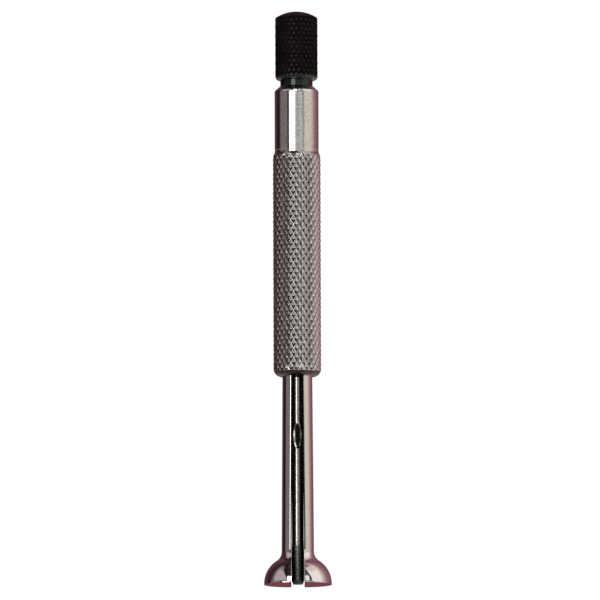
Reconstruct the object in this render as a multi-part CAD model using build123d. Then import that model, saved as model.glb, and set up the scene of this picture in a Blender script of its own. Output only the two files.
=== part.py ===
from build123d import *
import os
from math import asin, atan, degrees, radians, sqrt, sin, cos

# Small hole gauge with half-ball contacts.  Millimetres, +Z up the axis towards the
# knob, origin on the axis in the plane of the flat ends of the two half balls.
# The slot between the legs runs along Y, the legs stand at -X and +X.
# Modelled with the plunger fully forward: the half ball is at its largest size.

# ---- driving dimensions -------------------------------------------------------
# measuring end
BALL_R = 5.08          # radius of each half's contact sphere (smallest hole 10.16)
SPREAD = 1.20          # how far each half stands out from its closed place
BALL_Z = 0.15          # sphere centre above the flat: a narrow land runs round the rim
TRAVEL = 4.50          # plunger travel from fully open to fully closed

# legs
LEG_R = 2.77           # outside radius of the round stem that the slot parts into legs
SLOT_EDGE = 0.24       # rounded outer edges of the slot
SLOT_EDGE_Z = 6.30     # where that rounding ends above the ball
SLOT_ROOT = 0.95       # half width of the slot where the legs leave the handle
SLOT_TIP = 1.22        # half width of the slot at the flat of the ball
FLEX_Z = 39.30         # height where the legs flex
FLEX_X = 1.86          # middle of a leg's section there
ROOT_TOP = 47.00       # top of the leg roots inside the handle
ROOT_IN = 1.75         # half distance between the thinned roots
BALL_FILLET = 2.00     # hollow between the leg and the ball
BORE_TIP_R = 1.20      # seat for the plunger's tip (halves closed)
BORE_ROD_R = 1.14      # groove for the rod (halves closed)

# plunger
ROD_R = 1.10
TIP_R = 1.17
NOSE_R = 0.90
NOSE_Z = 0.05          # the nose lies just inside the flat
NOSE_TOP = 0.78
TIP_TOP = 5.90
FLARE_TOP = 8.70
EAR_Z = 27.60          # oval ears on the rod, front and back, that ride in the slot
EAR_HALF_L = 2.50
EAR_HALF_W = 0.77
EAR_OUT = 1.75         # flat of an ear, out from the axis
EAR_BEVEL_W = 0.30     # shallow bevel round that flat: its width
EAR_BEVEL_H = 0.05     # and its fall
ROD_TOP = 68.00
SPRING_COLLAR_R = 2.30
SPRING_COLLAR_L = 2.40

# handle
GRIP_R = 4.43          # over the crests of the knurl
COLLAR_R = 4.08
HANDLE_Z0 = 38.66
GRIP_Z0 = 40.00        # top of the rounded lower corner
GRIP_Z1 = 79.10        # top of the knurl
COLLAR_Z0 = 80.24
CHAMFER_Z = 91.78
HANDLE_Z1 = 92.65
MOUTH_R = 3.15         # edge of the lower face, and of the chamfer's top
STEM_BORE_R = 2.84
THREAD_BORE_R = 2.65
NECK_BORE_R = 3.05
THREAD_Z0 = 74.00
THREAD_Z1 = 87.50

# leg spacer
SPACER_Z0 = 39.60
SPACER_Z1 = 51.00
SPACER_HALF = 1.45
SPACER_HOLE_R = 1.14

# return spring
SPRING_R = 1.85        # mean radius
WIRE_R = 0.28
SPRING_TURNS = 9.5

# thrust ball
TBALL_R = 1.20

# knob and screw
KNOB_R = 3.94
KNOB_Z0 = 93.85
KNOB_CH = 0.62         # rounded lower corner
KNOB_Z1 = 105.45       # edge between the knurl and the dome
DOME_R = 6.99
NECK_R = 3.00
NECK_Z0 = 88.00
SCREW_R = 2.60
SCREW_Z0 = 73.50
POINT_R = 2.00
POINT_Z0 = 69.40

# ---- derived ------------------------------------------------------------------
CLOSE = degrees(asin(SPREAD / (FLEX_Z - BALL_Z)))            # swing of each leg, open to closed
SPLAY = degrees(atan((SLOT_TIP - SLOT_ROOT) / FLEX_Z))       # lean of the legs as modelled
DOME_C = KNOB_Z1 - sqrt(DOME_R ** 2 - KNOB_R ** 2)
KNOB_TOP = DOME_C + DOME_R
print("swing of a leg %.4f deg, lean %.4f deg, height %.3f mm" % (CLOSE, SPLAY, KNOB_TOP))

os.makedirs("parts", exist_ok=True)


def turned(points):
    """A body turned about Z from its half profile in the XZ plane, points as (r, z)."""
    face = make_face(Plane.XZ * Polyline(*points, close=True))
    return revolve(face, Axis.Z)


def about_flex(shape, angle):
    """Swing something on the +X side about the flex line, positive away from the axis."""
    return shape.rotate(Axis((FLEX_X, 0, FLEX_Z), (0, 1, 0)), -angle)


# ---- one leg with its half of the half ball (+X side) ---------------------------
# outside: a straight half-round bar, leaning out, and the sphere on its end
bar = Cylinder(LEG_R, FLEX_Z + 3.0, align=(Align.CENTER, Align.CENTER, Align.MIN))
bar = bar.rotate(Axis((0, 0, FLEX_Z), (0, 1, 0)), -SPLAY)
ball = Pos(SPREAD, 0, BALL_Z) * Sphere(BALL_R)
land = Pos(SPREAD, 0, -3) * Cylinder(BALL_R, BALL_Z + 3, align=(Align.CENTER, Align.CENTER, Align.MIN))
ball = (ball & (Pos(SPREAD, 0, BALL_Z + 10) * Box(30, 30, 20))) + land
blank = bar + ball
seam = [e for e in blank.edges() if BALL_Z + 2.5 < e.center().Z < BALL_Z + 7 and e.geom_type not in (GeomType.LINE,)]
blank = fillet(seam, BALL_FILLET)

# slot face, leaning with the leg, and the flat end of the ball
keep = Pos(SLOT_ROOT, 0, FLEX_Z) * Box(20, 30, 120, align=(Align.MIN, Align.CENTER, Align.CENTER))
keep = keep.rotate(Axis((0, 0, FLEX_Z), (0, 1, 0)), -SPLAY)
leg = blank & keep

# rounded outer edges of the slot above the ball: what stands outside a leg's rounded section
section = Circle(LEG_R) & (Pos(SLOT_ROOT, 0, 0) * Rectangle(10, 10, align=(Align.MIN, Align.CENTER)))
section = fillet(section.vertices(), SLOT_EDGE)
shank = extrude(section, FLEX_Z + 3.0).rotate(Axis((0, 0, FLEX_Z), (0, 1, 0)), -SPLAY)
corner = Pos(SLOT_ROOT, LEG_R - 0.17, 0) * Box(0.8, 1.0, FLEX_Z + 3.0, align=(Align.CENTER, Align.CENTER, Align.MIN))
corner = corner.rotate(Axis((0, 0, FLEX_Z), (0, 1, 0)), -SPLAY)
corner = corner & (Pos(0, 0, SLOT_EDGE_Z) * Box(40, 40, 60, align=(Align.CENTER, Align.CENTER, Align.MIN)))
corner = corner - shank
leg = leg - corner - corner.mirror(Plane.XZ)
leg = leg & Box(40, 40, FLEX_Z, align=(Align.CENTER, Align.CENTER, Align.MIN))

# thinned root inside the handle, drawn with the halves closed and swung open with the leg
root = Cylinder(LEG_R - 0.03, ROOT_TOP - FLEX_Z + 0.9, align=(Align.CENTER, Align.CENTER, Align.MIN))
root = Pos(0, 0, FLEX_Z - 0.9) * root
root = root & (Pos(ROOT_IN, 0, FLEX_Z) * Box(10, 20, 60, align=(Align.MIN, Align.CENTER, Align.CENTER)))
leg = leg + about_flex(root, CLOSE)

# seat and groove for the plunger, also drawn with the halves closed
lean = Solid.make_loft([
    Wire.make_circle(BORE_TIP_R, Plane((-SPREAD - 0.2963, 0, -1.0))),
    Wire.make_circle(BORE_TIP_R, Plane((0, 0, TRAVEL * 0.9))),
])
seat = turned([(0, TRAVEL * 0.9), (BORE_TIP_R, TRAVEL * 0.9), (BORE_TIP_R, TIP_TOP + TRAVEL + 0.2),
               (BORE_ROD_R, TIP_TOP + TRAVEL + 1.8), (BORE_ROD_R, FLEX_Z + 4), (0, FLEX_Z + 4)])
leg = leg - about_flex(lean + seat, CLOSE)
leg_right = leg.solids().sort_by(SortBy.VOLUME)[-1]
leg_left = leg_right.mirror(Plane.YZ)

# ---- plunger rod ----------------------------------------------------------------
plunger = turned([(0, NOSE_Z), (NOSE_R, NOSE_Z), (TIP_R, NOSE_TOP), (TIP_R, TIP_TOP - 0.25),
                  (ROD_R, FLARE_TOP), (ROD_R, ROD_TOP - 0.15), (ROD_R - 0.15, ROD_TOP), (0, ROD_TOP)])
# ears: two low oval pads raised on the rod, which ride in the slot and keep it from turning
ear = extrude(Plane.XZ * Ellipse(EAR_HALF_W, EAR_HALF_L), EAR_OUT - EAR_BEVEL_H)
ear = ear + loft([Plane.XZ.offset(EAR_OUT - EAR_BEVEL_H) * Ellipse(EAR_HALF_W, EAR_HALF_L),
                  Plane.XZ.offset(EAR_OUT) * Ellipse(EAR_HALF_W - EAR_BEVEL_W, EAR_HALF_L - EAR_BEVEL_W)])
plunger = plunger + Pos(0, 0, EAR_Z) * (ear + ear.mirror(Plane.XZ))

# ---- ring on top of the rod -------------------------------------------------------
spring_collar = turned([(ROD_R, ROD_TOP - SPRING_COLLAR_L), (SPRING_COLLAR_R - 0.15, ROD_TOP - SPRING_COLLAR_L),
                        (SPRING_COLLAR_R, ROD_TOP - SPRING_COLLAR_L + 0.15), (SPRING_COLLAR_R, ROD_TOP - 0.35),
                        (SPRING_COLLAR_R - 0.2, ROD_TOP - 0.15), (ROD_R, ROD_TOP - 0.15)])

# ---- thrust ball --------------------------------------------------------------------
thrust_ball = Pos(0, 0, ROD_TOP + TBALL_R) * Sphere(TBALL_R)

# ---- leg spacer ---------------------------------------------------------------------
spacer = Pos(0, 0, ROOT_TOP + 0.4) * Cylinder(STEM_BORE_R, SPACER_Z1 - ROOT_TOP - 0.4,
                                              align=(Align.CENTER, Align.CENTER, Align.MIN))
tongue = Pos(0, 0, SPACER_Z0) * Cylinder(STEM_BORE_R - 0.02, ROOT_TOP + 0.4 - SPACER_Z0,
                                         align=(Align.CENTER, Align.CENTER, Align.MIN))
tongue = tongue & (Pos(0, 0, SPACER_Z0) * Box(2 * SPACER_HALF, 20, 40, align=(Align.CENTER, Align.CENTER, Align.MIN)))
spacer = spacer + tongue
spacer = spacer - Cylinder(SPACER_HOLE_R, 200)

# ---- return spring --------------------------------------------------------------------
spring_z0 = SPACER_Z1 + WIRE_R + 0.02
spring_z1 = ROD_TOP - SPRING_COLLAR_L - WIRE_R - 0.02
helix = Pos(0, 0, spring_z0) * Helix(pitch=(spring_z1 - spring_z0) / SPRING_TURNS, height=spring_z1 - spring_z0,
                                     radius=SPRING_R)
section = Plane(origin=helix @ 0, z_dir=helix % 0) * Circle(WIRE_R)
return_spring = sweep(section, path=helix, is_frenet=True)

# ---- handle sleeve ----------------------------------------------------------------------
with BuildSketch(Plane.XZ) as profile:
    with BuildLine():
        l1 = Line((STEM_BORE_R, HANDLE_Z0), (MOUTH_R, HANDLE_Z0))
        l2 = RadiusArc((MOUTH_R, HANDLE_Z0), (GRIP_R, GRIP_Z0), -1.45)
        l3 = Line((GRIP_R, GRIP_Z0), (GRIP_R, GRIP_Z1))
        l4 = RadiusArc((GRIP_R, GRIP_Z1), (COLLAR_R, COLLAR_Z0), -1.9)
        l5 = Polyline((COLLAR_R, COLLAR_Z0), (COLLAR_R, CHAMFER_Z), (MOUTH_R, HANDLE_Z1),
                      (NECK_BORE_R, HANDLE_Z1), (NECK_BORE_R, THREAD_Z1), (THREAD_BORE_R, THREAD_Z1),
                      (THREAD_BORE_R, THREAD_Z0), (STEM_BORE_R, THREAD_Z0), (STEM_BORE_R, HANDLE_Z0))
    make_face()
handle_sleeve = revolve(profile.sketch, Axis.Z)

# ---- knob with its neck and screw ---------------------------------------------------------
with BuildSketch(Plane.XZ) as profile:
    with BuildLine():
        Polyline((0, POINT_Z0 + 1.02), (TBALL_R + 0.05, POINT_Z0 + 1.02), (TBALL_R + 0.05, POINT_Z0),
                 (POINT_R - 0.15, POINT_Z0), (POINT_R, POINT_Z0 + 0.15), (POINT_R, SCREW_Z0 - 0.4),
                 (SCREW_R, SCREW_Z0 + 0.2), (SCREW_R, NECK_Z0 - 0.4), (NECK_R, NECK_Z0), (NECK_R, KNOB_Z0),
                 (KNOB_R - KNOB_CH, KNOB_Z0))
        RadiusArc((KNOB_R - KNOB_CH, KNOB_Z0), (KNOB_R, KNOB_Z0 + KNOB_CH * 1.15), -0.72)
        Line((KNOB_R, KNOB_Z0 + KNOB_CH * 1.15), (KNOB_R, KNOB_Z1))
        RadiusArc((KNOB_R, KNOB_Z1), (0, KNOB_TOP), -DOME_R)
        Line((0, KNOB_TOP), (0, POINT_Z0 + 1.02))
    make_face()
knob_screw = revolve(profile.sketch, Axis.Z)

PARTS = {
    "handle_sleeve": handle_sleeve,
    "leg_left": leg_left,
    "leg_right": leg_right,
    "leg_spacer": spacer,
    "plunger_rod": plunger,
    "spring_collar": spring_collar,
    "return_spring": return_spring,
    "thrust_ball": thrust_ball,
    "knob_screw": knob_screw,
}
for name, shape in PARTS.items():
    export_step(shape, "parts/" + name + ".step")
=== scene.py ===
import math

import bmesh
import bpy
import numpy as np
from mathutils import Matrix, Vector


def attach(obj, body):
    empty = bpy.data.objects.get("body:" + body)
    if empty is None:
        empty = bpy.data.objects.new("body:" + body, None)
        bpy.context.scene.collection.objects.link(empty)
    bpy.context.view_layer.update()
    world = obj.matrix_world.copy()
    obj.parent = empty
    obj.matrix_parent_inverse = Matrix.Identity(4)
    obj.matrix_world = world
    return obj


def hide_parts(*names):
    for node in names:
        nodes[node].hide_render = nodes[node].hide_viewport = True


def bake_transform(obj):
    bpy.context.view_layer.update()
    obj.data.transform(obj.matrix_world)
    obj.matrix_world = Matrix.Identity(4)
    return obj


# Looks of a small hole gauge, in metres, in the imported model's frame: +Z up the axis to
# the knob, z = 0 in the plane of the half balls' flats, the slot between the legs along Y.

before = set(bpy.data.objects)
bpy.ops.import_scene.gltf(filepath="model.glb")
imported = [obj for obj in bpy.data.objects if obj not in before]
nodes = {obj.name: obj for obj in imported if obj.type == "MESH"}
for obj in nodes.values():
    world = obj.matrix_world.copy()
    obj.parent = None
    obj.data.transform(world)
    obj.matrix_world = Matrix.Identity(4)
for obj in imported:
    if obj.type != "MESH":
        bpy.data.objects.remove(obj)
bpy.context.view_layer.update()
scene = bpy.context.scene
MM = 0.001

scene.view_settings.view_transform = "Standard"
scene.view_settings.look = "None"
scene.view_settings.exposure = 0.0
scene.view_settings.gamma = 1.0


def lin(rgb):
    """0-255 display values to scene-linear."""
    out = []
    for v in rgb:
        v = v / 255.0
        out.append(v / 12.92 if v <= 0.04045 else ((v + 0.055) / 1.055) ** 2.4)
    return out


# ---- camera: level with the gauge's front, 6.5 degrees below it, long lens ----------
ELEVATION = math.radians(-6.5)
ROLL = math.radians(0.172)
DISTANCE = 3.70
AIM = Vector((0.535, 0.0, 52.92)) * MM
forward = Vector((0, math.cos(ELEVATION), -math.sin(ELEVATION)))
right0 = Vector((1, 0, 0))
up0 = right0.cross(forward)
up = (up0 * math.cos(ROLL) + right0 * math.sin(ROLL)).normalized()
right = forward.cross(up).normalized()
cam_data = bpy.data.cameras.new("camera")
cam_data.lens = 1200.0
cam_data.sensor_width = 36.0
cam_data.clip_start = 0.05
cam_data.clip_end = 50.0
camera = bpy.data.objects.new("camera", cam_data)
scene.collection.objects.link(camera)
place = Matrix.Identity(4)
for i, axis in enumerate((right, up, -forward)):
    for k in range(3):
        place[k][i] = axis[k]
eye = AIM - forward * DISTANCE
for k in range(3):
    place[k][3] = eye[k]
camera.matrix_world = place
scene.camera = camera


# ---- a short way to write node trees -------------------------------------------------
class Tree:
    def __init__(self, tree):
        self.t = tree
        tree.nodes.clear()

    def node(self, kind, **props):
        n = self.t.nodes.new(kind)
        for k, v in props.items():
            setattr(n, k, v)
        return n

    def put(self, socket, value):
        if isinstance(value, bpy.types.NodeSocket):
            self.t.links.new(value, socket)
        elif isinstance(value, (list, tuple)) and socket.type == "RGBA":
            socket.default_value = list(value)[:3] + [1.0]
        else:
            socket.default_value = value

    def math(self, op, a, b=None, c=None, clamp=False):
        n = self.node("ShaderNodeMath", operation=op, use_clamp=clamp)
        for s, v in zip(n.inputs, (a, b, c)):
            if v is not None:
                self.put(s, v)
        return n.outputs[0]

    def add(self, a, b):
        return self.math("ADD", a, b)

    def sub(self, a, b):
        return self.math("SUBTRACT", a, b)

    def mul(self, a, b):
        return self.math("MULTIPLY", a, b)

    def step(self, value, lo, hi, out0=0.0, out1=1.0):
        """Smooth ramp from out0 at lo to out1 at hi."""
        n = self.node("ShaderNodeMapRange", interpolation_type="SMOOTHSTEP")
        for name, v in (("Value", value), ("From Min", lo), ("From Max", hi), ("To Min", out0), ("To Max", out1)):
            self.put(n.inputs[name], v)
        return n.outputs["Result"]

    def band(self, value, lo, hi, soft):
        """1 between lo and hi, with soft edges."""
        a = self.step(value, lo - soft if not isinstance(lo, bpy.types.NodeSocket) else self.sub(lo, soft),
                      lo + soft if not isinstance(lo, bpy.types.NodeSocket) else self.add(lo, soft))
        b = self.step(value, hi - soft if not isinstance(hi, bpy.types.NodeSocket) else self.sub(hi, soft),
                      hi + soft if not isinstance(hi, bpy.types.NodeSocket) else self.add(hi, soft), 1.0, 0.0)
        return self.mul(a, b)

    def mix(self, fac, a, b, kind="RGBA", blend="MIX"):
        n = self.node("ShaderNodeMix", data_type=kind)
        if kind == "RGBA":
            n.blend_type = blend
        ins = [s for s in n.inputs if s.enabled]
        self.put(ins[0], fac)
        self.put(ins[1], a)
        self.put(ins[2], b)
        return [s for s in n.outputs if s.enabled][0]

    def ramp(self, fac, stops):
        n = self.node("ShaderNodeValToRGB")
        cr = n.color_ramp
        cr.interpolation = "LINEAR"
        while len(cr.elements) > 1:
            cr.elements.remove(cr.elements[-1])
        cr.elements[0].position = stops[0][0]
        cr.elements[0].color = list(stops[0][1]) + [1.0]
        for p, c in stops[1:]:
            e = cr.elements.new(p)
            e.color = list(c) + [1.0]
        self.put(n.inputs[0], fac)
        return n.outputs[0]

    def noise(self, vector, scale, detail=2.0, rough=0.5, dims="3D"):
        n = self.node("ShaderNodeTexNoise", noise_dimensions=dims)
        self.put(n.inputs["Vector"], vector)
        self.put(n.inputs["Scale"], scale)
        self.put(n.inputs["Detail"], detail)
        self.put(n.inputs["Roughness"], rough)
        return n.outputs[0]

    def mapping(self, vector, scale):
        n = self.node("ShaderNodeMapping")
        self.put(n.inputs["Vector"], vector)
        n.inputs["Scale"].default_value = scale
        return n.outputs[0]


# ---- studio: the surroundings that the bright metal reflects -------------------------
# Cloths, cards and a lamp, described by direction: psi is the azimuth in degrees, 0 towards -Y and + towards +X.
REFLECT = 0.82
world = bpy.data.worlds.new("studio")
scene.world = world
world.use_nodes = True
w = Tree(world.node_tree)
direction = w.node("ShaderNodeTexCoord").outputs["Generated"]
split = w.node("ShaderNodeSeparateXYZ")
w.put(split.inputs[0], direction)
dx, dy, dz = split.outputs
DEG = 180.0 / math.pi
psi = w.mul(w.math("ARCTAN2", dx, w.mul(dy, -1.0)), DEG)
elev = w.mul(w.math("ARCSINE", w.math("MINIMUM", w.math("MAXIMUM", dz, -1.0), 1.0)), DEG)

# the tints of the cloths and screens that stand around the gauge
BLACK, UMBER, SHADE, MAROON = (28, 24, 22), (46, 30, 32), (60, 48, 50), (76, 46, 54)
WINE, PLUM, MAUVE, ROSE = (100, 66, 74), (120, 82, 90), (150, 108, 114), (170, 132, 138)
BLUSH, SHELL, PALE, STONE = (190, 160, 162), (212, 188, 188), (232, 226, 220), (200, 190, 176)
SAND, ASH, GREY, LILAC = (150, 148, 142), (80, 76, 72), (112, 102, 104), (174, 158, 158)
SILVER, HAZE, WHITE, FOG = (194, 194, 192), (166, 166, 166), (250, 248, 250), (142, 130, 132)

HORIZON = [(-180, SAND), (-158, GREY), (-148, MAROON), (-133, MAROON), (-113, BLACK), (-103, BLACK), (-90, GREY), (-50, GREY), (-48, UMBER),
           (-42, UMBER), (-38, PALE), (-16, WHITE), (-8, PALE), (1, HAZE), (27, SILVER), (33, SAND), (40, SAND), (43, STONE), (80, STONE),
           (108, MAUVE), (145, WINE), (160, GREY), (180, SAND)]
# above the level: dark cloth in front and on the left, rose cloth from the right round to the back
ABOVE = [(-180, WINE), (-133, MAROON), (-110, UMBER), (-96, SHADE), (-82, GREY), (-60, UMBER), (-25, BLACK), (0, SHADE), (14, GREY), (30, HAZE),
         (50, PALE), (70, PALE), (94, BLUSH), (108, MAUVE), (138, PLUM), (180, WINE)]
ZENITH = [(-180, SHADE), (-110, UMBER), (-50, BLACK), (5, ASH), (43, MAUVE), (75, LILAC), (128, PLUM), (180, SHADE)]


def all_round(points, angle):
    return w.ramp(w.math("DIVIDE", w.add(angle, 180.0), 360.0),
                  [((p + 180) / 360.0, [min(1.0, v / REFLECT) for v in lin(c)]) for p, c in points])


def tint(rgb, k=1.0):
    return [v * k / REFLECT for v in lin(rgb)]


color = all_round(HORIZON, psi)
behind = w.mul(w.step(w.math("ABSOLUTE", psi), 148.0, 160.0), w.band(elev, -2.6, 2.6, 0.6))
above = w.mix(w.step(elev, 56.0, 76.0), all_round(ABOVE, psi), all_round(ZENITH, psi))
color = w.mix(w.step(elev, 7.5, 12.5), color, above)
# a pale cloth on the left, narrower and dimmer towards its top
cloth_to = w.step(elev, 14.0, 70.0, -21.0, -56.0)
cloth = w.mul(w.band(psi, -80.0, cloth_to, 4.0), w.band(elev, 10.5, 64.0, 4.0))
color = w.mix(cloth, color, w.mix(w.step(elev, 40.0, 62.0), tint(LILAC), tint(GREY)))
# a paler one on the right, wider towards its top, and a small card beside it
sheet_from = w.step(elev, 20.0, 58.0, 32.0, 11.0)
sheet = w.mul(w.band(psi, sheet_from, 78.0, 5.0), w.band(elev, 10.5, 68.0, 4.0))
color = w.mix(sheet, color, w.mix(w.step(elev, 38.0, 56.0), tint(PALE), tint(STONE)))
card = w.mul(w.band(psi, 6.0, 21.0, 2.0), w.band(elev, 9.0, 30.0, 3.0))
color = w.mix(card, color, tint(PALE))
# narrow dark post in front of the pale cloth on the right, leaning to the left
post_at = w.sub(28.0, w.mul(w.math("MAXIMUM", w.sub(elev, 20.0), 0.0), 0.515))
post = w.mul(w.band(psi, w.sub(post_at, 4.0), w.add(post_at, 4.0), 1.4), w.band(elev, 11.0, 56.0, 2.5))
color = w.mix(w.mul(post, 0.93), color, tint((34, 32, 29)))
# below the level: dark in front, deep red behind, and a pale table further down
DIM = [(-180, SAND), (-150, GREY), (-112, PLUM), (-92, ASH), (-60, UMBER), (24, BLACK), (44, GREY), (58, SHELL), (98, SHELL), (116, ROSE),
       (160, FOG), (180, SAND)]
TABLE = [(-180, STONE), (-120, SAND), (-60, FOG), (20, FOG), (60, STONE), (120, SILVER), (180, STONE)]
under = w.mix(w.step(elev, -19.5, -24.5), all_round(DIM, psi), all_round(TABLE, psi))
wine = w.mul(w.step(w.math("ABSOLUTE", psi), 140.0, 156.0), w.band(elev, -9.0, -3.9, 0.4))
under = w.mix(wine, under, tint((108, 60, 71)))
color = w.mix(w.step(elev, -1.0, -4.4), color, under)
color = w.mix(behind, color, w.mix(w.step(w.math("ABSOLUTE", w.sub(w.math("ABSOLUTE", psi), 168.0)), 2.0, 6.0), tint((250, 249, 250), 1.6), tint((172, 168, 167))))
# the lamp: a tall bright panel, front left, its upper part standing further to the right
lamp_from = w.step(elev, 7.8, 8.4, -36.5, -16.5)
lamp_to = w.step(elev, 7.8, 8.4, -11.0, 1.5)
lamp = w.mul(w.band(psi, lamp_from, lamp_to, 2.4), w.band(elev, -7.0, 26.5, 2.0))
lamp_glow = w.mix(lamp, color, [4.2, 4.15, 4.2])
rails = w.add(w.band(elev, 7.65, 11.2, 0.15), w.band(elev, 1.6, 5.55, 0.1))
rail = w.mul(rails, w.band(psi, -50.0, 34.0, 3.0))
lamp_glow = w.mix(w.mul(rail, 0.9), lamp_glow, tint((26, 24, 24)))
grain = w.noise(direction, 9.0, 3.0, 0.6)
surroundings = w.mix(0.12, lamp_glow, w.mix(1.0, lamp_glow, w.mix(grain, [0.55, 0.55, 0.55], [1.45, 1.45, 1.45]), blend="MULTIPLY"))

seen = w.node("ShaderNodeLightPath").outputs["Is Camera Ray"]
back_col = w.node("ShaderNodeBackground")
w.put(back_col.inputs["Color"], surroundings)
back_col.inputs["Strength"].default_value = 1.0
back_white = w.node("ShaderNodeBackground")
back_white.inputs["Color"].default_value = (1.0, 1.0, 1.0, 1.0)
back_white.inputs["Strength"].default_value = 1.02
join = w.node("ShaderNodeMixShader")
w.put(join.inputs[0], seen)
w.put(join.inputs[1], back_col.outputs[0])
w.put(join.inputs[2], back_white.outputs[0])
world_out = w.node("ShaderNodeOutputWorld")
w.put(world_out.inputs["Surface"], join.outputs[0])

# a soft ceiling lamp for the floor and its shadow; the metal doesn't mirror it
lamp_data = bpy.data.lights.new("ceiling_lamp", "AREA")
lamp_data.shape = "DISK"
lamp_data.size = 0.5
lamp_data.energy = 9.0
ceiling = bpy.data.objects.new("ceiling_lamp", lamp_data)
scene.collection.objects.link(ceiling)
ceiling.location = (-0.25, -0.35, 0.8)
ceiling.rotation_euler = (Vector((0, 0, 0.02)) - Vector(ceiling.location)).to_track_quat("-Z", "Y").to_euler()
ceiling.visible_glossy = False


# ---- materials ------------------------------------------------------------------------
def material(name):
    m = bpy.data.materials.new(name)
    m.use_nodes = True
    t = Tree(m.node_tree)
    bsdf = t.node("ShaderNodeBsdfPrincipled")
    out = t.node("ShaderNodeOutputMaterial")
    t.put(out.inputs["Surface"], bsdf.outputs[0])
    coord = t.node("ShaderNodeTexCoord").outputs["Object"]
    return m, t, bsdf, coord


def bump(t, bsdf, height, distance, strength=1.0):
    n = t.node("ShaderNodeBump")
    n.inputs["Strength"].default_value = strength
    n.inputs["Distance"].default_value = distance
    t.put(n.inputs["Height"], height)
    t.put(bsdf.inputs["Normal"], n.outputs[0])


def metal(name, base, dark, rough, rough_var, grain_scale, grain_bump, line_scale=0.0, line_bump=0.0, metallic=1.0, mottle=0.5):
    """Bare metal: slight mottling, fine grain and turning lines."""
    m, t, bsdf, coord = material(name)
    coarse = t.noise(coord, grain_scale * 0.35, 3.0, 0.6)
    fine = t.noise(coord, grain_scale, 3.0, 0.65)
    spots = t.step(fine, 0.5 - mottle * 0.28, 0.5 + mottle * 0.28)
    t.put(bsdf.inputs["Base Color"], t.mix(spots, dark, base))
    t.put(bsdf.inputs["Roughness"], t.step(coarse, 0.3, 0.7, rough - rough_var, rough + rough_var))
    bsdf.inputs["Metallic"].default_value = metallic
    height = fine
    if line_scale:
        lines = t.noise(t.mapping(coord, (40.0, 40.0, line_scale)), 1.0, 2.0, 0.6)
        height = t.add(t.mul(fine, grain_bump), t.mul(lines, line_bump))
        bump(t, bsdf, height, 1.0)
    else:
        bump(t, bsdf, t.mul(fine, grain_bump), 1.0)
    return m


chrome = metal("satin_chrome_collar", (0.90, 0.895, 0.895), (0.64, 0.635, 0.635), 0.055, 0.02, 3000.0, 1.6e-6, 9000.0, 1.2e-6)
knurl_steel = metal("satin_chrome_knurl", (0.66, 0.68, 0.67), (0.50, 0.52, 0.51), 0.16, 0.04, 3200.0, 4e-6)
# darker copy of the knurl steel for the groove faces: painted shade in the knurl's grooves
groove_shade_steel = metal("satin_chrome_groove_painted_shade", (0.56, 0.59, 0.575), (0.40, 0.425, 0.415), 0.18, 0.04, 3200.0, 5e-6)
# near-black, pinkish base on the handle's lower rounded corner: a painted dark reflection of what lies under the grip
corner_dark_reflection_steel = metal("satin_chrome_corner_painted_reflection", (0.12, 0.085, 0.095), (0.07, 0.048, 0.055), 0.14, 0.04, 2200.0, 3.0e-6, 7000.0, 3.0e-6)
leg_steel = metal("polished_leg", (0.84, 0.83, 0.83), (0.76, 0.75, 0.75), 0.045, 0.015, 1800.0, 0.5e-6, 3000.0, 0.3e-6)
bore_steel = metal("bored_steel", (0.50, 0.49, 0.48), (0.36, 0.35, 0.34), 0.32, 0.08, 2500.0, 2e-6, 6000.0, 3e-6)
rod_steel = metal("ground_plunger", (0.54, 0.53, 0.47), (0.41, 0.40, 0.35), 0.11, 0.03, 2600.0, 1.0e-6, 5000.0, 0.8e-6)
tip_steel = metal("plunger_tip", (0.20, 0.205, 0.185), (0.09, 0.095, 0.085), 0.40, 0.08, 3600.0, 5e-6)
# near-black base on the ears' flat faces: painted shade, where the flats would otherwise mirror the grey surroundings
ear_flat_shade_steel = metal("ear_flat_painted_shade", (0.024, 0.023, 0.021), (0.012, 0.0115, 0.0105), 0.15, 0.04, 3000.0, 2e-6)
bevel_steel = metal("ear_bevel", (0.30, 0.295, 0.28), (0.19, 0.187, 0.175), 0.10, 0.03, 2600.0, 2e-6)
# dark base on the slot walls, their groove and the hidden root: painted shade inside the slot between the legs
slot_shade_steel = metal("slot_painted_shade", (0.085, 0.08, 0.078), (0.045, 0.042, 0.041), 0.26, 0.06, 2200.0, 2e-6, 5000.0, 3e-6)
ring_steel = metal("turned_ring", (0.52, 0.51, 0.49), (0.38, 0.37, 0.36), 0.26, 0.06, 2400.0, 2e-6, 5200.0, 2e-6)
ball_steel = metal("thrust_ball_steel", (0.78, 0.77, 0.76), (0.68, 0.67, 0.66), 0.06, 0.02, 1500.0, 0.4e-6)
wire_steel = metal("spring_wire_steel", (0.50, 0.48, 0.44), (0.36, 0.34, 0.31), 0.24, 0.06, 3000.0, 1.5e-6)


def black_oxide(name, rough, rough_var, tint_col, bump_h, spec):
    m, t, bsdf, coord = material(name)
    fine = t.noise(coord, 2800.0, 3.0, 0.6)
    broad = t.noise(coord, 420.0, 2.0, 0.5)
    t.put(bsdf.inputs["Base Color"], t.mix(t.step(broad, 0.35, 0.7), (0.0030, 0.0022, 0.0027), (0.0060, 0.0048, 0.0055)))
    t.put(bsdf.inputs["Roughness"], t.step(fine, 0.3, 0.7, rough - rough_var, rough + rough_var))
    bsdf.inputs["Metallic"].default_value = 0.0
    bsdf.inputs["IOR"].default_value = 1.5
    bsdf.inputs["Specular IOR Level"].default_value = spec
    bsdf.inputs["Specular Tint"].default_value = (*tint_col, 1.0)
    bump(t, bsdf, t.mul(fine, bump_h), 1.0)
    return m


knob_black = black_oxide("black_oxide_knurl", 0.10, 0.03, (1.0, 0.97, 1.0), 1.5e-6, 1.0)
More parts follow.
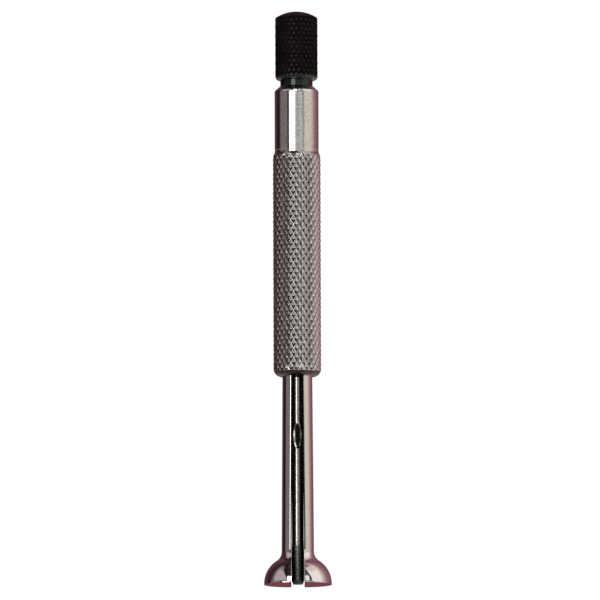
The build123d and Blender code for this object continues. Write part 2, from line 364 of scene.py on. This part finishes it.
# groove faces of the knob's knurl reflect far less than the crests: painted shade in the grooves
knob_groove_shade = black_oxide("black_oxide_groove_painted_shade", 0.50, 0.08, (1.0, 0.92, 0.95), 3e-6, 0.07)
dome_black = black_oxide("black_oxide_dome", 0.32, 0.06, (1.0, 0.88, 0.92), 3e-6, 0.30)
neck_black = black_oxide("black_oxide_neck", 0.09, 0.03, (0.80, 1.0, 0.95), 2.5e-6, 0.68)


# ---- mesh helpers -----------------------------------------------------------------------
def arc(p0, p1, r, n):
    """Points from p0 to p1, (r, z) in mm, on a circle whose centre lies left of the way from p0 to p1."""
    ax, ay = p0
    bx, by = p1
    mx, my = (ax + bx) / 2, (ay + by) / 2
    dx_, dy_ = bx - ax, by - ay
    half = math.hypot(dx_, dy_) / 2
    h = math.sqrt(max(r * r - half * half, 0.0))
    nx, ny = -dy_ / (2 * half), dx_ / (2 * half)
    cx, cy = mx + nx * h, my + ny * h
    a0 = math.atan2(ay - cy, ax - cx)
    a1 = math.atan2(by - cy, bx - cx)
    while a1 - a0 > math.pi:
        a1 -= 2 * math.pi
    while a1 - a0 < -math.pi:
        a1 += 2 * math.pi
    return [(cx + r * math.cos(a0 + (a1 - a0) * i / n), cy + r * math.sin(a0 + (a1 - a0) * i / n)) for i in range(n + 1)]


def build(name, verts, faces, mats, mat_index=None, smooth=None, creases=None):
    me = bpy.data.meshes.new(name)
    me.from_pydata([tuple(v) for v in verts], [], faces)
    me.update()
    ob = bpy.data.objects.new(name, me)
    scene.collection.objects.link(ob)
    for m in mats:
        me.materials.append(m)
    if mat_index is not None:
        me.polygons.foreach_set("material_index", np.array(mat_index, dtype=np.int32))
    me.polygons.foreach_set("use_smooth", np.array(smooth if smooth is not None else [True] * len(faces), dtype=bool))
    return ob


def sharp_by_angle(ob, degrees):
    """Smooth shading that breaks at edges sharper than this."""
    bm = bmesh.new()
    bm.from_mesh(ob.data)
    limit = math.radians(degrees)
    for f in bm.faces:
        f.smooth = True
    for e in bm.edges:
        if len(e.link_faces) == 2:
            e.smooth = e.calc_face_angle(0.0) < limit
        else:
            e.smooth = False
    bm.to_mesh(ob.data)
    bm.free()


def tri(x, peak=0.5):
    """Triangle wave, 0 at whole numbers and 1 at peak between them."""
    f = x - np.floor(x)
    return np.where(f < peak, f / peak, (1.0 - f) / (1.0 - peak))


CREST_FROM = 0.55
EVEN = [0.0, 0.1, 0.2, 0.3, 0.4, 0.5, 0.6, 0.7, 0.8, 0.9, 1.0]
DRAWN = [0.0, 0.034, 0.17, 0.32, 0.455, 0.5, 0.545, 0.68, 0.83, 0.966, 1.0]


def drawn(x, amount):
    """The lattice's even steps drawn together at the grooves and the crests, so that both get a narrow flat."""
    whole = np.floor(x)
    f = x - whole
    return whole + f + amount * (np.interp(f, EVEN, DRAWN) - f)


def lathe_with_knurl(name, before, after, limit, z_first, z_last, starts, period, crest, sink, peak, sub, phase, mats, pick):
    """A closed turned body. before and after are (r, z, tag) profile points in mm below and above the
    knurled stretch; on the stretch, rows are laid on the knurl's lattice so that its ridges follow the mesh.
    limit(z) is the turned radius there; sink(h) is how deep the surface lies, h = 0 in a groove and 1 on
    a crest; peak is where the crest stands between two grooves."""
    n = starts * sub
    step = period / sub
    k0 = math.ceil((z_first - phase[1]) / step)
    k1 = math.floor((z_last - phase[1]) / step)
    rows = [(r, z, tag, None) for r, z, tag in before]
    for k in range(k0, k1 + 1):
        rows.append((None, phase[1] + k * step, "knurl", k))
    rows += [(r, z, tag, None) for r, z, tag in after]
    theta = phase[0] + np.arange(n) * 2 * math.pi / n
    j = np.arange(n)
    verts = []
    for r, z, tag, k in rows:
        if k is None:
            rr, around, zz = np.full(n, r), theta, np.full(n, z)
        else:
            amount = max(0.0, min(1.0, (k - k0 - 2) / 5.0, (k1 - 2 - k) / 5.0))
            u, v = drawn(j / sub + k / sub, amount), drawn(j / sub - k / sub, amount)
            h = np.minimum(tri(u, peak), tri(v, peak))
            around = phase[0] + (u + v) * math.pi / starts
            zz = phase[1] + (u - v) * period / 2.0
            rr = np.minimum(np.array([limit(q) for q in zz]), crest - sink(h))
        verts.append(np.stack([rr * np.cos(around), rr * np.sin(around), zz], 1))
    verts = np.concatenate(verts) * MM
    faces, index = [], []
    count = len(rows)
    closed = count
    for a in range(closed):
        b = (a + 1) % count
        ka = rows[a][3]
        tag = rows[a][2]
        kb = rows[b][3]
        for i in range(n):
            i2 = (i + 1) % n
            q = (a * n + i, a * n + i2, b * n + i2, b * n + i)
            if ka is not None and kb is not None:
                # split each cell along the groove family that shapes it, so that creases stay straight
                if tri(np.float64((i + ka + 1) / sub)) <= tri(np.float64((i - ka) / sub)):
                    faces.append((q[0], q[1], q[3])); faces.append((q[1], q[2], q[3]))
                else:
                    faces.append((q[0], q[1], q[2])); faces.append((q[0], q[2], q[3]))
                mid = min(float(tri(np.float64((i + ka + 1.0) / sub), peak)), float(tri(np.float64((i - ka) / sub), peak)))
                index += [pick("knurl" if mid > CREST_FROM else "groove")] * 2
            else:
                faces.append(q)
                index.append(pick(tag))
    return build(name, verts, faces, mats, index)


# ---- handle: knurled grip, plain collar, bored right through ---------------------------
GRIP_R, COLLAR_R = 4.43, 4.08
corner = arc((3.15, 38.66), (4.43, 40.00), 1.45, 14)
runout = arc((4.43, 79.10), (4.08, 80.24), 1.90, 12)


def on_curve(points, z):
    zs = [p[1] for p in points]
    rs = [p[0] for p in points]
    return float(np.interp(z, zs, rs))


def grip_limit(z):
    if z <= 40.0:
        return on_curve(corner, z)
    if z >= 79.10:
        return on_curve(runout, z)
    return GRIP_R


KNURL_Z0 = 39.30
lower = [(2.84, 38.66, "corner"), (3.00, 38.66, "corner")]
lower += [(r, z, "corner") for r, z in corner if z < KNURL_Z0 - 0.05]
upper = [(COLLAR_R, 80.26, "collar"), (COLLAR_R, 80.58, "collar"), (COLLAR_R - 0.045, 80.64, "collar"),
         (COLLAR_R - 0.045, 80.72, "collar"), (COLLAR_R, 80.78, "collar")]
upper += [(COLLAR_R, z, "collar") for z in np.linspace(81.0, 91.70, 40)]
upper += [(COLLAR_R - 0.01, 91.76, "collar"), (COLLAR_R - 0.035, 91.81, "collar"), (3.17, 92.62, "collar"), (3.145, 92.645, "collar"),
          (3.12, 92.65, "bore"), (3.06, 92.65, "bore"), (3.05, 92.62, "bore"), (3.05, 87.5, "bore"), (2.65, 87.5, "bore"),
          (2.65, 74.0, "bore"), (2.84, 74.0, "bore"), (2.84, 60.0, "bore"), (2.84, 45.0, "bore")]
tags = {"corner": 0, "knurl": 1, "collar": 2, "bore": 3, "groove": 4}
handle = lathe_with_knurl("handle_knurled", lower, upper, grip_limit, KNURL_Z0, 80.22, 26, 1.770, GRIP_R, lambda h: 0.165 * (1.0 - np.clip((h - 0.068) / 0.84, 0.0, 1.0)), 0.5, 10,
                          (math.radians(-1.7), 40.0), [corner_dark_reflection_steel, knurl_steel, chrome, bore_steel, groove_shade_steel], lambda t: tags[t])
sharp_by_angle(handle, 20)
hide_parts("handle_sleeve")
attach(handle, "handle")

# ---- knob: knurled barrel, domed top, neck and screw -------------------------------------
KNOB_R = 3.94
CH = 0.62
low_corner = arc((KNOB_R - CH, 93.85), (KNOB_R, 93.85 + CH * 1.15), 0.72, 10)
DOME_R = 6.99
dome_c = 105.45 - math.sqrt(DOME_R ** 2 - KNOB_R ** 2)
top_angle = math.asin(KNOB_R / DOME_R)


def knob_limit(z):
    if z <= low_corner[-1][1]:
        return on_curve(low_corner, z)
    if z > 105.45:
        return math.sqrt(max(DOME_R ** 2 - (z - dome_c) ** 2, 0.0))
    return KNOB_R


knob_low = [(3.00, 88.0, "neck"), (3.00, 90.0, "neck")]
knob_low += [(3.00, z, "neck") for z in np.linspace(92.0, 93.80, 10)]
knob_low += [(3.01, 93.84, "neck"), (3.04, 93.85, "neck")] + [(r, z, "neck") for r, z in low_corner if z < 94.42]
knob_top = []
for i in range(0, 15):
    a = top_angle * (0.93 - 0.93 * i / 14.0)
    knob_top.append((max(DOME_R * math.sin(a), 0.012), dome_c + DOME_R * math.cos(a), "dome"))
knob_core = [(0.012, 70.42, "screw"), (1.25, 70.42, "screw"), (1.25, 69.40, "screw"), (1.85, 69.40, "screw"), (2.00, 69.55, "screw"),
             (2.00, 73.1, "screw")]
z = 73.7
knob_core += [(2.45, 73.62, "screw")]
while z < 87.2:
    knob_core += [(2.30, z, "screw"), (2.60, z + 0.19, "screw")]
    z += 0.38
knob_core += [(2.60, 87.6, "screw")]
knob_tags = {"neck": 0, "knurl": 1, "dome": 2, "screw": 3, "groove": 4}
CREST_FROM = 0.68
knob = lathe_with_knurl("knob_knurled", knob_low, knob_top + knob_core, knob_limit, 94.45, 105.80, 26, 1.704, KNOB_R, lambda h: 0.14 * (1.0 - np.minimum(h / 0.70, 1.0)), 0.5, 10,
                        (math.radians(0.07), 94.54), [neck_black, knob_black, dome_black, ring_steel, knob_groove_shade], lambda t: knob_tags[t])
sharp_by_angle(knob, 18)
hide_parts("knob_screw")
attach(knob, "knob")

# ---- return spring: its wire, drawn finely -------------------------------------------------
z0, z1 = 51.30 * MM, 65.30 * MM
turns, mean, wire = 9.5, 1.85 * MM, 0.28 * MM
steps, ring = 342, 12
verts = []
for i in range(steps + 1):
    a = 2 * math.pi * turns * i / steps
    c = Vector((mean * math.cos(a), mean * math.sin(a), z0 + (z1 - z0) * i / steps))
    tangent = Vector((-mean * math.sin(a), mean * math.cos(a), (z1 - z0) / (2 * math.pi * turns))).normalized()
    out = Vector((math.cos(a), math.sin(a), 0))
    side = tangent.cross(out).normalized()
    for k in range(ring):
        b = 2 * math.pi * k / ring
        verts.append(c + (out * math.cos(b) + side * math.sin(b)) * wire)
faces = []
for i in range(steps):
    for k in range(ring):
        k2 = (k + 1) % ring
        faces.append((i * ring + k, i * ring + k2, (i + 1) * ring + k2, (i + 1) * ring + k))
faces.append(tuple(range(ring))[::-1])
faces.append(tuple(steps * ring + k for k in range(ring)))
spring = build("spring_wire", verts, faces, [wire_steel])
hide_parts("return_spring")
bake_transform(spring)


# ---- the CAD nodes that stay ----------------------------------------------------------------
def dress(node, mats, choose=None, angle=24):
    ob = nodes[node]
    me = ob.data
    me.materials.clear()
    for m in mats:
        me.materials.append(m)
    index = []
    for p in me.polygons:
        index.append(choose(p.center / MM, p.normal) if choose else 0)
    me.polygons.foreach_set("material_index", np.array(index, dtype=np.int32))
    me.polygons.foreach_set("use_smooth", np.array([True] * len(me.polygons), dtype=bool))
    me.update()


def leg_zone(side):
    """The slot walls, their groove and the hidden root are darker than the polished outside: painted shade in the
    slot.
    """
    return lambda c, n: 1 if c.z > 39.35 or (n.x * side < -0.02 and abs(n.z) < 0.9) else 0


def rod_zone(c, n):
    if c.z < 7.2:
        return 1
    if abs(c.y) > 1.20:
        return 2 if abs(n.y) > 0.999 else 3
    return 0


dress("leg_left", [leg_steel, slot_shade_steel], leg_zone(-1))
dress("leg_right", [leg_steel, slot_shade_steel], leg_zone(1))
dress("plunger_rod", [rod_steel, tip_steel, ear_flat_shade_steel, bevel_steel], rod_zone)
dress("leg_spacer", [bore_steel])
dress("spring_collar", [ring_steel])
dress("thrust_ball", [ball_steel])

# ---- floor -------------------------------------------------------------------------------------
bpy.ops.mesh.primitive_plane_add(size=6.0, location=(0, 0, -0.00004))
floor = bpy.context.object
floor.name = "floor"
fm = bpy.data.materials.new("pale_floor")
fm.use_nodes = True
ft = Tree(fm.node_tree)
path = ft.node("ShaderNodeLightPath")
facing = ft.node("ShaderNodeNewGeometry").outputs["Backfacing"]
spot = ft.node("ShaderNodeTexCoord").outputs["Object"]
reach = ft.node("ShaderNodeVectorMath", operation="LENGTH")
ft.put(reach.inputs[0], spot)
pool = ft.step(reach.outputs["Value"], 0.05, 0.30, 1.0, 0.0)
shown = ft.mul(ft.mul(path.outputs["Is Camera Ray"], ft.sub(1.0, facing)), pool)
diffuse = ft.node("ShaderNodeBsdfDiffuse")
cloud = ft.noise(spot, 60.0, 4.0, 0.6)
ft.put(diffuse.inputs["Color"], ft.mix(cloud, (0.79, 0.83, 0.825), (0.85, 0.89, 0.885)))
clear = ft.node("ShaderNodeBsdfTransparent")
fjoin = ft.node("ShaderNodeMixShader")
ft.put(fjoin.inputs[0], shown)
ft.put(fjoin.inputs[1], clear.outputs[0])
ft.put(fjoin.inputs[2], diffuse.outputs[0])
fout = ft.node("ShaderNodeOutputMaterial")
ft.put(fout.inputs["Surface"], fjoin.outputs[0])
floor.data.materials.append(fm)
